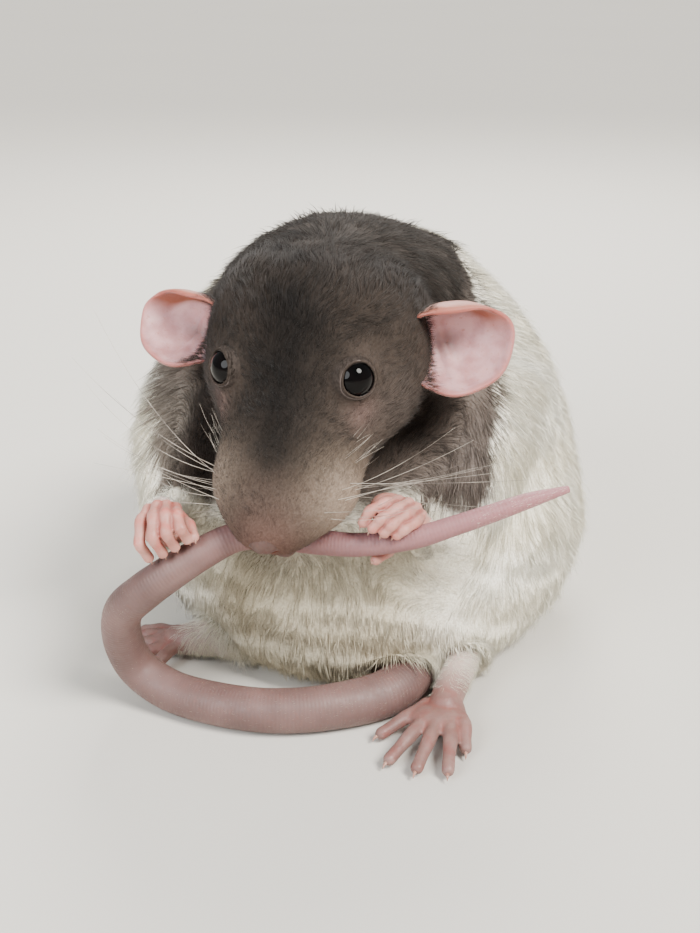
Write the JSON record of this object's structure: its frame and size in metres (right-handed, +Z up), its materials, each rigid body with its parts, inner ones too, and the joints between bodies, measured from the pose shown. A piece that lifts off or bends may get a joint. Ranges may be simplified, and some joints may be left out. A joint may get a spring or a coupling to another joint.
{
  "type": "pet rat",
  "caption": "Pet rat at life size, sitting hunched on its belly, with its tail curled round and held across its mouth by both forepaws.",
  "frame": {"origin": "the middle of the flat on which the belly and rump rest on the floor", "axes": "+Z up; -Y is forward, the way the rat faces; +X is the rat's left"},
  "size_m": [0.0927, 0.1253, 0.0824],
  "materials": {
    "white_coat": "short cream-white fur",
    "hood_coat": "short grey-brown fur",
    "muzzle_coat": "very short pale fur",
    "foreleg_coat": "short grey-brown and white fur",
    "ear_skin": "thin bare pink skin",
    "eye": "wet glossy black",
    "paw_skin": "bare pink skin with pale claws",
    "tail_skin": "fine scales on pink-mauve skin"
  },
  "bodies": {
    "root": {"torso": "white_coat", "thigh_left": "white_coat", "thigh_right": "white_coat", "neck": "hood_coat", "head": "hood_coat", "jaw": "muzzle_coat", "foreleg_left": "foreleg_coat", "foreleg_right": "foreleg_coat", "ear_left": "ear_skin", "ear_right": "ear_skin", "eye_left": "eye", "eye_right": "eye", "hand_left": "paw_skin", "hand_right": "paw_skin", "foot_left": "paw_skin", "foot_right": "paw_skin", "tail_1": "tail_skin", "tail_2": "tail_skin", "tail_3": "tail_skin", "tail_4": "tail_skin", "tail_5": "tail_skin", "tail_6": "tail_skin", "tail_7": "tail_skin", "tail_8": "tail_skin"}
  },
  "joints": []
}
